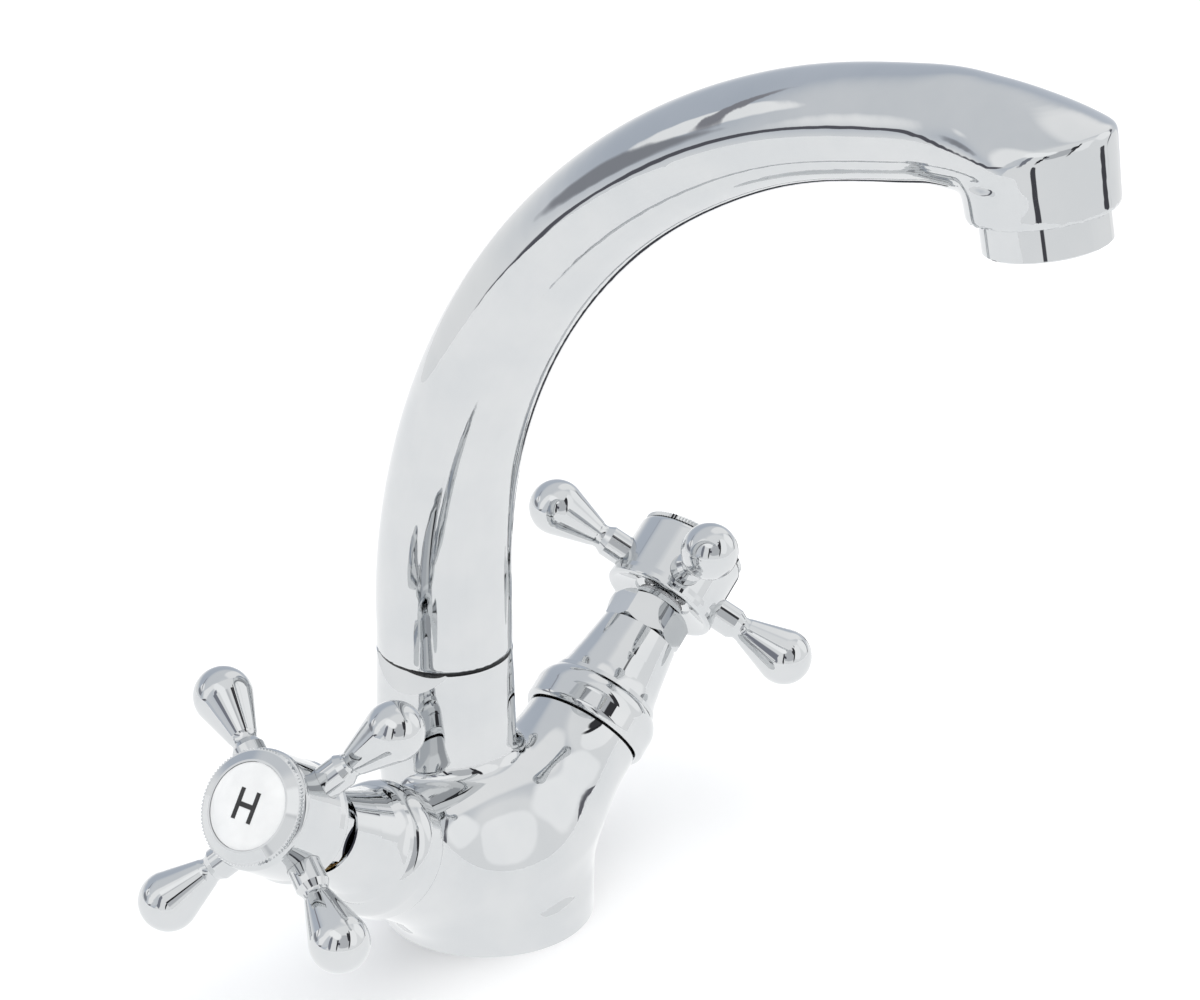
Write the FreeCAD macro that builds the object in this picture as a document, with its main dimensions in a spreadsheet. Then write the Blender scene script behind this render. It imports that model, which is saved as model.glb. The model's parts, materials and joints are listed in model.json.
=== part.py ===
"""Deck-mounted basin mixer: two cross-handle valves and a swivelling swan-neck spout.

Frame: origin on the deck at the centre of the round base, +Z up, the spout reaches
towards -Y, the hot handle is on the -X side and the cold handle on the +X side.
Each valve has its own frame: origin where its axis starts inside the body, local +Z
outwards along the axis. Lengths along a valve are measured from that origin.
"""
import FreeCAD
import Part
import math
import os
import Sketcher
from FreeCAD import Placement, Rotation, Vector

doc = FreeCAD.newDocument("basin_mixer")
sheet = doc.addObject("Spreadsheet::Sheet", "Dims")

DIMENSIONS = {
    # base and dome
    "base_radius": 22.5, "band_top": 4.4, "flare_radius": 21.4, "flare_top": 8.6,
    "flare_curve": 9.0, "waist_curve": 16.0, "dome_radius": 20.5, "dome_level": 14.4,
    # column that carries the spout
    "column_back": 10.7, "column_top": 58.1, "column_straight": 36.0,
    "column_radius": 14.25, "column_foot_radius": 14.75,
    "heel_mid": 20.0, "heel_mid_back": 8.0, "heel_mid_radius": 15.3,
    "heel_level": 4.0, "heel_back": 4.0, "heel_radius": 17.3,
    "column_bore_radius": 11.1, "column_bore_floor": 35.0,
    # valve arms
    "valve_rise": 35.385, "valve_level": 3.97,
    "arm_start": 13.0, "arm_end": 40.05, "arm_start_radius": 13.5, "arm_end_radius": 12.86,
    "valve_bore_radius": 10.0, "valve_bore_floor": 20.0,
    "seat_radius": 2.9, "seat_bottom": 12.5, "cross_port_radius": 3.0, "cross_port_depth": 23.5,
    "cross_port_meeting": 3.0,
    "inlet_side": 7.34, "inlet_radius": 4.5, "inlet_top": 13.5,
    "stud_front": 11.0, "stud_radius": 3.35, "stud_top": 15.0,
    "underside_radius": 16.0, "underside_depth": 3.0,
    "arm_blend": 3.0, "column_blend": 1.4, "waist_level": 14.0,
    # base seal
    "seal_inner": 17.6, "seal_outer": 20.6, "seal_depth": 2.0, "snug": 0.05,
    # spout
    "spout_bottom": 58.7, "spout_bend_level": 70.5, "spout_bend": 130.0,
    "spout_root_radius": 14.25, "spout_end_radius": 11.0, "spout_bore_radius": 8.5,
    "taper_end": 80.0, "spigot_radius": 11.0, "spigot_bottom": 38.0,
    "grub_radius": 2.5, "grub_hole_depth": 6.0, "grub_thread": 2.9, "grub_length": 4.4,
    "grub_tip_radius": 1.6, "grub_socket": 1.8, "grub_socket_radius": 1.3, "grub_inset": 0.2,
    "keeper_level": 50.0, "keeper_half": 2.0, "keeper_radius": 9.3, "bearing_inset": 0.5,
    "ring_low": 41.0, "ring_high": 45.0, "ring_width": 2.0, "ring_root": 9.6,
    # outlet block
    "outlet_reach": 141.0, "outlet_level": 182.8, "outlet_tilt": 11.0,
    "outlet_radius": 14.15, "outlet_top_radius": 15.22, "outlet_height": 19.5,
    "outlet_wall_top": 14.0, "split_reach": 138.5, "head_turn": 82.0, "head_bore_radius": 7.6,
    "aerator_drop": 6.5, "outlet_bore_radius": 11.5, "outlet_bore_top": 15.5,
    "limit_height": 40.0, "limit_width": 60.0, "limit_depth": 200.0, "limit_tall": 300.0,
    # aerator
    "aerator_radius": 12.0, "aerator_thread": 11.45, "aerator_bore": 10.2,
    "aerator_lip": 9.2, "lip_height": 0.9, "aerator_top": 13.0, "aerator_bevel": 0.3,
    "flat_distance": 11.6, "flat_top": 5.6, "flat_cut_width": 40.0, "flat_cut_depth": 5.0,
    "insert_wall": 1.0, "slot_pitch": 1.8, "slot_width": 1.1, "slot_margin": 1.8,
    "insert_top": 9.6, "insert_radius": 10.1, "insert_floor": 1.6,
    "screen_low": 11.0, "screen_high": 11.5, "washer_inner": 8.9, "washer_top": 15.3,
    # cartridge
    "nose_radius": 8.4, "nose_top": 27.0, "thread_radius": 9.95, "flange_bottom": 41.0,
    "flange_top": 45.5, "flange_radius": 11.2, "barrel_radius": 7.8, "barrel_top": 60.0,
    "gland_radius": 6.0, "gland_top": 74.5, "gland_collar": 5.6, "collar_bottom": 72.9,
    "disc_chamber": 7.0, "disc_chamber_top": 30.2, "spindle_bore": 4.05,
    "window_low": 24.4, "window_half": 3.2, "window_tall": 2.0,
    "washer_low": 40.1, "washer_in": 10.05, "washer_out": 11.7,
    "seat_washer_inner": 4.3, "seat_washer_top": 22.2, "disc_radius": 6.9, "fixed_top": 25.2,
    "moving_top": 28.2, "port_offset": 3.6, "port_radius": 2.2,
    # shroud
    "shroud_foot": 40.5, "shroud_foot_radius": 13.45, "bead_low": 42.0, "bead_high": 44.9,
    "bead_radius": 14.1, "bead_curve": 1.6, "shoulder_curve": 5.4, "shoulder_top": 49.6,
    "shoulder_radius": 12.25, "step_top": 50.6, "step_radius": 12.0, "cone_foot": 53.4,
    "cone_foot_radius": 10.85, "cone_curve": 9.0, "cone_mid": 58.0, "cone_mid_radius": 10.0,
    "shroud_top": 65.3, "shroud_top_radius": 8.9, "shroud_wall": 11.95, "shroud_ceiling": 49.4,
    "shroud_neck": 8.4,
    # shroud nut
    "nut_bottom": 65.6, "nut_top": 72.7, "nut_corner": 8.9, "nut_bevel": 1.0,
    "nut_bevel_radius": 7.7, "nut_bore": 6.05,
    # spindle
    "spindle_foot": 28.25, "spindle_foot_radius": 6.8, "spindle_foot_top": 30.1,
    "spindle_radius": 4.0, "spindle_neck": 3.0, "neck_bottom": 74.6, "neck_top": 77.0,
    "spline_radius": 3.9, "spindle_end": 83.3, "screw_hole": 1.65, "screw_hole_floor": 75.0,
    "seal_low": 52.0, "seal_high": 57.0, "seal_width": 2.0, "seal_root": 2.8,
    "clip_low": 74.65, "clip_high": 75.45, "clip_radius": 5.2,
    # hub
    "hub_foot": 74.0, "hub_foot_radius": 12.0, "hub_rim_low": 74.6, "hub_rim_curve": 0.9,
    "hub_rim_radius": 12.6, "hub_rim_top": 75.6, "hub_waist": 76.8,
    "hub_radius": 12.3, "hub_shoulder": 88.0, "hub_top": 89.4, "hub_top_radius": 11.3,
    "hub_curve": 1.5, "dish_radius": 11.4, "dish_bore": 6.8, "dish_top": 76.0,
    "dish_floor": 76.4, "socket_radius": 3.95,
    "socket_top": 83.5, "web_top": 84.5, "web_hole": 2.15, "screw_recess": 3.8,
    "cap_recess_floor": 86.2, "cap_recess": 9.3, "lever_level": 79.8,
    "lever_hole": 2.0, "lever_hole_floor": 6.6,
    # lever
    "lever_stud": 1.95, "stud_start": 6.9, "lever_root": 11.7, "collar_radius": 3.5,
    "collar_end": 16.6, "neck_start": 18.0, "neck_radius": 2.75, "neck_curve": 2.6,
    "flare_start": 19.6, "flare_start_radius": 3.1, "ball_reach": 29.89, "ball_radius": 6.15,
    # handle screw
    "screw_radius": 1.6, "screw_tip": 75.6, "screw_head": 3.4, "screw_head_top": 86.3,
    "screw_socket": 1.6, "screw_socket_floor": 85.1,
    # index cap, disc and letter
    "cap_spigot": 9.2, "cap_inner": 7.9, "cap_foot": 86.4, "cap_seat": 89.45,
    "knurl_radius": 11.84, "knurl_root": 11.45, "knurl_top": 90.4, "bezel_top": 91.5,
    "bezel_radius": 9.35, "bezel_edge": 11.3, "tray_radius": 8.9, "tray_floor": 89.9,
    "disc_edge_radius": 8.82, "disc_edge": 91.35, "disc_crown": 91.95, "disc_flat": 4.6, "disc_curve": 15.0,
    "letter_height": 6.4, "letter_width": 4.9, "letter_stroke": 1.0, "letter_mouth": 1.3,
    "letter_floor": 91.3, "letter_top": 92.0,
}
LEVER_TURN = {"hot": 52.2, "cold": 41.06}
KNURL_TEETH = 96
GRILLE_SLOTS = 9
BEND_STEPS = 9
COLUMN_STEPS = 4
SMOOTH_ANGLE = 5.0
TOUCHING = 0.05
SIDES = ("hot", "cold")

# Widening head of the spout: reach from the column, top level, half width, and the
# heights of the section's upper and lower halves.
HEAD = [
    (119.0, 211.3, 11.3, 11.1, 10.9),
    (125.0, 211.2, 12.1, 11.0, 10.6),
    (131.0, 210.7, 13.4, 10.6, 9.8),
    (135.0, 210.1, 14.25, 10.3, 9.0),
    (138.5, 209.5, 14.75, 10.0, 8.4),
    (145.0, 208.1, 15.2, 9.8, 7.8),
    (152.0, 206.2, 15.3, 9.8, 6.0),
    (158.0, 204.2, 15.3, 9.8, 6.0),
]
HEAD_STEPS = len(HEAD)
for number, sizes in enumerate(HEAD, start=1):
    for name, size in zip(("reach", "top", "wide", "outer", "inner"), sizes):
        DIMENSIONS[f"head_{name}_{number}A"] = size

for row, (alias, amount) in enumerate(DIMENSIONS.items(), start=1):
    sheet.set(f"A{row}", alias)
    sheet.set(f"B{row}", str(amount))
    sheet.setAlias(f"B{row}", alias)
doc.recompute()


# ---------------------------------------------------------------- sums of dimensions

def value(text):
    """Number that a sum such as 'hub_foot + snug - 2' stands for."""
    total = 0.0
    sign = 1.0
    for word in str(text).split():
        if word in ("+", "-"):
            sign = 1.0 if word == "+" else -1.0
        elif word[0].isdigit():
            total += sign * float(word)
        else:
            total += sign * float(sheet.get(word))
    return total


def formula(text):
    """The same sum as an expression on the sheet."""
    words = []
    for word in str(text).split():
        plain = word in ("+", "-") or word[0].isdigit()
        words.append(word if plain else f"Dims.{word}")
    return " ".join(words)


def bind(thing, prop, text):
    thing.setExpression(prop, formula(text))


# ---------------------------------------------------------------- sketches and bodies

def origin_plane(body, role):
    for feature in body.Origin.OriginFeatures:
        if feature.Role == role:
            return feature
    raise LookupError(role)


def new_sketch(body, name, role="XZ_Plane"):
    sketch = body.newObject("Sketcher::SketchObject", name)
    sketch.AttachmentSupport = [(origin_plane(body, role), "")]
    sketch.MapMode = "FlatFace"
    return sketch


def arc_centre(start, end, radius, left):
    """Centre of the minor arc from start to end, on its left or right side."""
    chord = end - start
    rise = math.sqrt(max(radius ** 2 - chord.Length ** 2 / 4.0, 0.0))
    normal = Vector(-chord.y, chord.x, 0).normalize()
    middle = (start + end) * 0.5
    return middle + normal * (rise if left else -rise)


def draw_side(sketch, start, end, arc):
    """One side of an outline; returns its number and its first and last point."""
    if arc is None:
        return sketch.addGeometry(Part.LineSegment(start, end)), 1, 2
    radius, left = value(arc[0]), arc[1] == "left"
    centre = arc_centre(start, end, radius, left)
    first = math.atan2(start.y - centre.y, start.x - centre.x)
    last = math.atan2(end.y - centre.y, end.x - centre.x)
    circle = Part.Circle(centre, Vector(0, 0, 1), radius)
    if left:
        side = sketch.addGeometry(Part.ArcOfCircle(circle, first, last))
        return side, 1, 2
    side = sketch.addGeometry(Part.ArcOfCircle(circle, last, first))
    return side, 2, 1


def pin_point(sketch, side, end, axis, text):
    """Hold one coordinate of an outline's corner to a sum on the sheet."""
    number = value(text)
    if abs(number) < 1e-9:
        line = -2 if axis == "X" else -1
        sketch.addConstraint(Sketcher.Constraint("PointOnObject", side, end, line))
        return
    kind = f"Distance{axis}"
    if number > 0:
        rule = Sketcher.Constraint(kind, -1, 1, side, end, number)
        expression = formula(text)
    else:
        rule = Sketcher.Constraint(kind, side, end, -1, 1, -number)
        expression = f"-({formula(text)})"
    index = sketch.addConstraint(rule)
    sketch.setExpression(f"Constraints[{index}]", expression)


def outline(sketch, corners):
    """Closed outline. A corner is (x, y) or (x, y, radius, centre side) after an arc."""
    points = [Vector(value(corner[0]), value(corner[1]), 0) for corner in corners]
    sides = []
    for index, corner in enumerate(corners):
        following = corners[(index + 1) % len(corners)]
        arc = following[2:] if len(following) > 2 else None
        end = points[(index + 1) % len(corners)]
        sides.append(draw_side(sketch, points[index], end, arc))
        if arc is not None:
            number = sides[-1][0]
            rule = Sketcher.Constraint("Radius", number, value(arc[0]))
            held = sketch.addConstraint(rule)
            sketch.setExpression(f"Constraints[{held}]", formula(arc[0]))
    for index, corner in enumerate(corners):
        side, first, _ = sides[index]
        before, _, last = sides[index - 1]
        sketch.addConstraint(Sketcher.Constraint("Coincident", before, last, side, first))
        pin_point(sketch, side, first, "X", corner[0])
        pin_point(sketch, side, first, "Y", corner[1])


def turned(label, *outlines, place=None):
    """PartDesign body turned about its own Z axis from outlines of (radius, height)."""
    body = doc.addObject("PartDesign::Body", label)
    body.Label = label
    sketch = new_sketch(body, f"{label}_outline")
    for corners in outlines:
        outline(sketch, corners)
    turn = body.newObject("PartDesign::Revolution", f"{label}_turn")
    turn.Profile = sketch
    turn.ReferenceAxis = (sketch, ["V_Axis"])
    turn.Angle = 360.0
    sketch.Visibility = False
    body.Placement = place or Placement()
    return body


def ring(label, inner, outer, low, high, place=None):
    corners = [(inner, low), (outer, low), (outer, high), (inner, high)]
    return turned(label, corners, place=place)


# ---------------------------------------------------------------- primitives and booleans

def rod(name, radius, length, place):
    thing = doc.addObject("Part::Cylinder", name)
    bind(thing, "Radius", radius)
    bind(thing, "Height", length)
    thing.Placement = place
    return thing


def cone(name, low_radius, high_radius, length, place):
    thing = doc.addObject("Part::Cone", name)
    bind(thing, "Radius1", low_radius)
    bind(thing, "Radius2", high_radius)
    bind(thing, "Height", length)
    thing.Placement = place
    return thing


def block(name, sizes, place):
    thing = doc.addObject("Part::Box", name)
    for prop, text in zip(("Length", "Width", "Height"), sizes):
        bind(thing, prop, text)
    thing.Placement = place
    return thing


def joined(label, pieces):
    thing = doc.addObject("Part::MultiFuse", label)
    thing.Label = label
    thing.Shapes = pieces
    return thing


def shared(label, base, tool):
    thing = doc.addObject("Part::Common", label)
    thing.Label = label
    thing.Base = base
    thing.Tool = tool
    return thing


def carved(label, base, tools):
    thing = doc.addObject("Part::Cut", label)
    thing.Label = label
    thing.Base = base
    thing.Tool = tools[0] if len(tools) == 1 else joined(f"{label}_tools", tools)
    return thing


def shaped(label, shape, place=None):
    thing = doc.addObject("Part::Feature", label)
    thing.Label = label
    thing.Shape = shape
    thing.Placement = place or Placement()
    return thing


def at(x, y, z, direction=Vector(0, 0, 1)):
    return Placement(Vector(x, y, z), Rotation(Vector(0, 0, 1), direction))


def valve_place(side):
    """Valve frame: local +Z along the arm, leaning out by the arm's rise."""
    lean = 90.0 - value("valve_rise")
    turn = Rotation(Vector(0, 1, 0), lean if side == "cold" else -lean)
    return Placement(Vector(0, 0, value("valve_level")), turn)


def along_valve(side, distance):
    """Frame on a valve's axis at a distance from its start."""
    return valve_place(side) * Placement(Vector(0, 0, value(distance)), Rotation())


def outlet_place(height):
    """Frame on the outlet's axis: local +Z up the axis from the aerator's mouth."""
    tilt = Rotation(Vector(1, 0, 0), -value("outlet_tilt"))
    mouth = Vector(0, value("column_back - outlet_reach"), value("outlet_level"))
    return Placement(mouth, tilt) * Placement(Vector(0, 0, value(height)), Rotation())


PARTS = []


def keep(*pieces):
    PARTS.extend(pieces)


# ---------------------------------------------------------------- cast body

def column_solid():
    """Upright column whose overhanging back sweeps in to the base lower down."""
    top = value("column_top")
    back = value("column_back")
    straight = value("column_straight")
    rings = []
    for step in range(COLUMN_STEPS + 1):
        level = top + (straight - top) * step / COLUMN_STEPS
        widen = (value("column_foot_radius") - value("column_radius")) * step / COLUMN_STEPS
        rings.append((back, level, value("column_radius") + widen))
    rings.append((value("heel_mid_back"), value("heel_mid"), value("heel_mid_radius")))
    rings.append((value("heel_back"), value("heel_level"), value("heel_radius")))
    wires = []
    for ring_back, level, radius in rings:
        circle = Part.Circle(Vector(0, ring_back, level), Vector(0, 0, 1), radius)
        wires.append(Part.Wire(circle.toShape()))
    return shaped("column", Part.makeLoft(wires, True))


def body_castings():
    """Base with its dome, two valve arms and the column, still unmachined."""
    dome = turned(
        "dome",
        [
            ("0", "0"),
            ("base_radius", "0"),
            ("base_radius", "band_top"),
            ("flare_radius", "flare_top", "flare_curve", "left"),
            ("dome_radius", "dome_level", "waist_curve", "right"),
            ("0", "dome_level + dome_radius", "dome_radius", "left"),
        ],
    )
    arms = [
        cone(
            f"{side}_arm",
            "arm_start_radius",
            "arm_end_radius",
            "arm_end - arm_start",
            along_valve(side, "arm_start"),
        )
        for side in SIDES
    ]
    return [dome, column_solid(), *arms]


def passage(name, radius, start, end):
    """Drilling from one point to another."""
    direction = end - start
    thing = doc.addObject("Part::Cylinder", name)
    bind(thing, "Radius", radius)
    thing.Height = direction.Length
    thing.Placement = at(*start, direction)
    return thing


def valve_point(side, distance):
    return along_valve(side, distance).Base


def body_drillings():
    tools = [
        rod("underside_recess", "underside_radius", "underside_depth", at(0, 0, 0)),
        rod(
            "column_bore",
            "column_bore_radius",
            "column_top - column_bore_floor",
            at(0, value("column_back"), value("column_bore_floor")),
        ),
        rod("stud_hole", "stud_radius", "stud_top", at(0, -value("stud_front"), 0)),
        ring("seal_groove", "seal_inner - snug", "seal_outer + snug", "0", "seal_depth + snug"),
        rod(
            "grub_hole",
            "grub_radius + snug",
            "grub_hole_depth",
            at(0, value("column_back + column_radius + 1"), value("keeper_level"), Vector(0, -1, 0)),
        ),
    ]
    for side in SIDES:
        sign = 1 if side == "cold" else -1
        tools += [
            rod(
                f"{side}_valve_bore",
                "valve_bore_radius",
                "arm_end - valve_bore_floor",
                along_valve(side, "valve_bore_floor"),
            ),
            rod(
                f"{side}_seat_port",
                "seat_radius",
                "valve_bore_floor - seat_bottom",
                along_valve(side, "seat_bottom"),
            ),
            rod(
                f"{side}_inlet",
                "inlet_radius",
                "inlet_top",
                at(sign * value("inlet_side"), 0, 0),
            ),
            passage(
                f"{side}_cross_port",
                "cross_port_radius",
                valve_point(side, "cross_port_depth"),
                Vector(
                    sign * value("cross_port_meeting"),
                    value("column_back"),
                    value("column_bore_floor + 1"),
                ),
            ),
        ]
    return tools


def crease_angle(shape, edge):
    """Angle in degrees between the two faces that meet at an edge, at its middle."""
    faces = shape.ancestorsOfType(edge, Part.Face)
    if len(faces) != 2:
        return 0.0
    middle = edge.valueAt((edge.FirstParameter + edge.LastParameter) / 2)
    normals = [face.normalAt(*face.Surface.parameter(middle)) for face in faces]
    return math.degrees(normals[0].getAngle(normals[1]))


def blend_creases(casting):
    """Soften the creases between the dome, the arms and the column."""
    shape = casting.Shape
    column = next(piece for piece in casting.Shapes if piece.Label == "column")
    blends = []
    for number, edge in enumerate(shape.Edges, start=1):
        box = edge.BoundBox
        flat_ring = edge.Curve.TypeId == "Part::GeomCircle" and box.ZMax < value("waist_level")
        end_ring = box.ZMin > value("column_top") - 1 or abs(box.XMin + box.XMax) > value("arm_end")
        if flat_ring or end_ring or crease_angle(shape, edge) < SMOOTH_ANGLE:
            continue
        middle = edge.valueAt((edge.FirstParameter + edge.LastParameter) / 2)
        reach = column.Shape.distToShape(Part.Vertex(middle))[0]
        radius = value("column_blend") if reach < TOUCHING else value("arm_blend")
        blends.append((number, radius, radius))
    softened = doc.addObject("Part::Fillet", "softened_casting")
    softened.Base = casting
    softened.Edges = blends
    return softened


casting = joined("casting", body_castings())
doc.recompute()


def valve_pieces(side):
    """Everything on one valve that stays still, from the seat outwards."""
    place = valve_place(side)
    seat_washer = ring(
        f"{side}_seat_washer",
        "seat_washer_inner",
        "disc_radius",
        "valve_bore_floor",
        "seat_washer_top",
        place,
    )
    washer = ring(
        f"{side}_cartridge_washer", "washer_in", "washer_out", "washer_low", "flange_bottom", place
    )
    return [seat_washer, fixed_disc(side), cartridge_body(side), washer, shroud(side), nut(side)]


def cartridge_body(side):
    """Brass headwork: disc chamber with two windows, thread, flange, barrel and gland."""
    place = valve_place(side)
    blank = turned(
        f"{side}_cartridge_blank",
        [
            ("disc_chamber", "valve_bore_floor"),
            ("nose_radius", "valve_bore_floor"),
            ("nose_radius", "nose_top"),
            ("thread_radius", "nose_top"),
            ("thread_radius", "flange_bottom"),
            ("flange_radius", "flange_bottom"),
            ("flange_radius", "flange_top"),
            ("barrel_radius", "flange_top"),
            ("barrel_radius", "barrel_top"),
            ("gland_radius", "barrel_top"),
            ("gland_radius", "collar_bottom"),
            ("gland_collar", "collar_bottom"),
            ("gland_collar", "gland_top"),
            ("spindle_bore", "gland_top"),
            ("spindle_bore", "disc_chamber_top"),
            ("disc_chamber", "disc_chamber_top"),
        ],
        place=place,
    )
    reach = value("nose_radius") + 1
    window = block(
        f"{side}_window",
        ("nose_radius + nose_radius + 2", "window_half + window_half", "window_tall"),
        place * Placement(Vector(-reach, -value("window_half"), value("window_low")), Rotation()),
    )
    return carved(f"{side}_cartridge_body", blank, [window])


def ported_disc(label, side, low, high):
    """Ceramic disc with two ports, one each side of its centre."""
    place = valve_place(side) * Placement(Vector(0, 0, value(low)), Rotation())
    blank = rod(f"{label}_blank", "disc_radius", f"{high} - {low}", place)
    ports = []
    for name, sign in (("near", -1), ("far", 1)):
        shift = Placement(Vector(sign * value("port_offset"), 0, -1), Rotation())
        ports.append(rod(f"{label}_{name}_port", "port_radius", f"{high} - {low} + 2", place * shift))
    return carved(label, blank, ports)


def fixed_disc(side):
    return ported_disc(f"{side}_fixed_disc", side, "seat_washer_top", "fixed_top")


def shroud(side):
    """Bell cover: beaded rim on the arm, rounded shoulder, tapering neck; open inside."""
    return turned(
        f"{side}_shroud",
        [
            ("shroud_wall", "shroud_foot"),
            ("shroud_foot_radius", "shroud_foot"),
            ("bead_radius", "bead_low", "bead_curve", "left"),
            ("bead_radius", "bead_high"),
            ("shoulder_radius", "shoulder_top", "shoulder_curve", "left"),
            ("step_radius", "step_top"),
            ("cone_foot_radius", "cone_foot", "cone_curve", "right"),
            ("cone_mid_radius", "cone_mid"),
            ("shroud_top_radius", "shroud_top"),
            ("shroud_neck", "shroud_top"),
            ("shroud_neck", "shroud_ceiling"),
            ("shroud_wall", "flange_top + 1"),
        ],
        place=valve_place(side),
    )


def nut(side):
    """Hexagon nut that holds the shroud down, bevelled at both ends."""
    place = along_valve(side, "nut_bottom")
    hexagon = doc.addObject("Part::Prism", f"{side}_hexagon")
    hexagon.Polygon = 6
    bind(hexagon, "Circumradius", "nut_corner")
    bind(hexagon, "Height", "nut_top - nut_bottom")
    hexagon.Placement = place
    bevelled = turned(
        f"{side}_nut_bevel",
        [
            ("nut_bore", "nut_bottom"),
            ("nut_bevel_radius", "nut_bottom"),
            ("nut_corner", "nut_bottom + nut_bevel"),
            ("nut_corner", "nut_top - nut_bevel"),
            ("nut_bevel_radius", "nut_top"),
            ("nut_bore", "nut_top"),
        ],
        place=valve_place(side),
    )
    return shared(f"{side}_shroud_nut", hexagon, bevelled)


# ---------------------------------------------------------------- handle

def spindle(side):
    """Spindle: foot that drives the moving disc, sealed shank, neck and splined end."""
    grooves = []
    for level in ("seal_low", "seal_high"):
        grooves += [
            ("spindle_radius", level),
            ("seal_root", level),
            ("seal_root", f"{level} + seal_width"),
            ("spindle_radius", f"{level} + seal_width"),
        ]
    return turned(
        f"{side}_spindle",
        [
            ("0", "spindle_foot"),
            ("spindle_foot_radius", "spindle_foot"),
            ("spindle_foot_radius", "spindle_foot_top"),
            ("spindle_radius", "spindle_foot_top"),
            *grooves,
            ("spindle_radius", "neck_bottom"),
            ("spindle_neck", "neck_bottom"),
            ("spindle_neck", "neck_top"),
            ("spline_radius", "neck_top"),
            ("spline_radius", "spindle_end"),
            ("screw_hole", "spindle_end"),
            ("screw_hole", "screw_hole_floor"),
            ("0", "screw_hole_floor"),
        ],
        place=valve_place(side),
    )


def seal_pair(label, inner, outer, lows, width, place):
    """Two rubber rings of the same size in one node."""
    rings = [
        [
            (f"{inner} + snug", f"{low} + snug"),
            (outer, f"{low} + snug"),
            (outer, f"{low} + {width} - snug"),
            (f"{inner} + snug", f"{low} + {width} - snug"),
        ]
        for low in lows
    ]
    halves = [
        turned(f"{label}_{number}", corners, place=place)
        for number, corners in enumerate(rings, start=1)
    ]
    return joined(label, halves)


def hub(side):
    """Crosshead hub: beaded rim, rounded shoulder, dished underside, four lever sockets."""
    place = valve_place(side)
    blank = turned(
        f"{side}_hub_blank",
        [
            ("dish_radius", "hub_foot"),
            ("hub_foot_radius", "hub_foot"),
            ("hub_rim_radius", "hub_rim_low", "hub_rim_curve", "left"),
            ("hub_rim_radius", "hub_rim_top"),
            ("hub_radius", "hub_waist"),
            ("hub_radius", "hub_shoulder"),
            ("hub_top_radius", "hub_top", "hub_curve", "left"),
            ("cap_recess", "hub_top"),
            ("cap_recess", "cap_recess_floor"),
            ("screw_recess", "cap_recess_floor"),
            ("screw_recess", "web_top"),
            ("web_hole", "web_top"),
            ("web_hole", "socket_top"),
            ("socket_radius", "socket_top"),
            ("socket_radius", "dish_floor"),
            ("dish_bore", "dish_floor"),
            ("dish_bore", "dish_top"),
        ],
        place=place,
    )
    sockets = []
    for number in range(1, 5):
        for name, radius, floor in (
            ("socket", "lever_hole", "lever_hole_floor"),
            ("seat", "collar_radius + snug", "lever_root"),
        ):
            inwards = Placement(Vector(0, 0, value(floor)), Rotation())
            sockets.append(
                rod(
                    f"{side}_lever_{name}_{number}",
                    radius,
                    f"hub_rim_radius + 1 - {floor}",
                    lever_place(side, number) * inwards,
                )
            )
    return carved(f"{side}_hub", blank, sockets)


def lever_place(side, number):
    """Frame of one lever: origin on the valve's axis, local +Z outwards along the lever."""
    turn = Rotation(Vector(0, 0, 1), LEVER_TURN[side] + 90.0 * number)
    outwards = Rotation(Vector(0, 1, 0), 90.0)
    level = Placement(Vector(0, 0, value("lever_level")), turn)
    return valve_place(side) * level * Placement(Vector(), outwards)


def lever(side, number):
    """Lever: stud in the hub, short collar, pinched neck, and a cone that ends in a ball."""
    reach = value("ball_reach")
    ball = value("ball_radius")
    run = value("ball_reach - flare_start")
    root = value("flare_start_radius")
    slope = math.asin(ball / math.hypot(run, root)) - math.atan2(root, run)
    touch_radius = round(ball * math.cos(slope), 4)
    touch_reach = round(reach - ball * math.sin(slope), 4)
    return turned(
        f"{side}_lever_{number}",
        [
            ("0", "stud_start"),
            ("lever_stud", "stud_start"),
            ("lever_stud", "lever_root"),
            ("collar_radius", "lever_root"),
            ("collar_radius", "collar_end"),
            ("neck_radius", "neck_start"),
            ("flare_start_radius", "flare_start", "neck_curve", "right"),
            (str(touch_radius), str(touch_reach)),
            ("ball_radius", "ball_reach", "ball_radius", "left"),
            ("0", "ball_reach + ball_radius", "ball_radius", "left"),
        ],
        place=lever_place(side, number),
    )


def handle_screw(side):
    return turned(
        f"{side}_handle_screw",
        [
            ("0", "screw_tip"),
            ("screw_radius", "screw_tip"),
            ("screw_radius", "web_top"),
            ("screw_head", "web_top"),
            ("screw_head", "screw_head_top"),
            ("screw_socket", "screw_head_top"),
            ("screw_socket", "screw_socket_floor"),
            ("0", "screw_socket_floor"),
        ],
        place=valve_place(side),
    )


def knurl_prism(side):
    """Saw-edged prism whose teeth cut the cap's rim."""
    low = value("cap_foot - 1")
    corners = []
    for tooth in range(KNURL_TEETH):
        for half, radius in ((0.0, "knurl_radius"), (0.5, "knurl_root")):
            turn = 2 * math.pi * (tooth + half) / KNURL_TEETH
            reach = value(radius)
            corners.append(Vector(reach * math.cos(turn), reach * math.sin(turn), low))
    face = Part.Face(Part.makePolygon([*corners, corners[0]]))
    tall = value("bezel_top + 1") - low
    return shaped(f"{side}_knurl", face.extrude(Vector(0, 0, tall)), valve_place(side))


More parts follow.
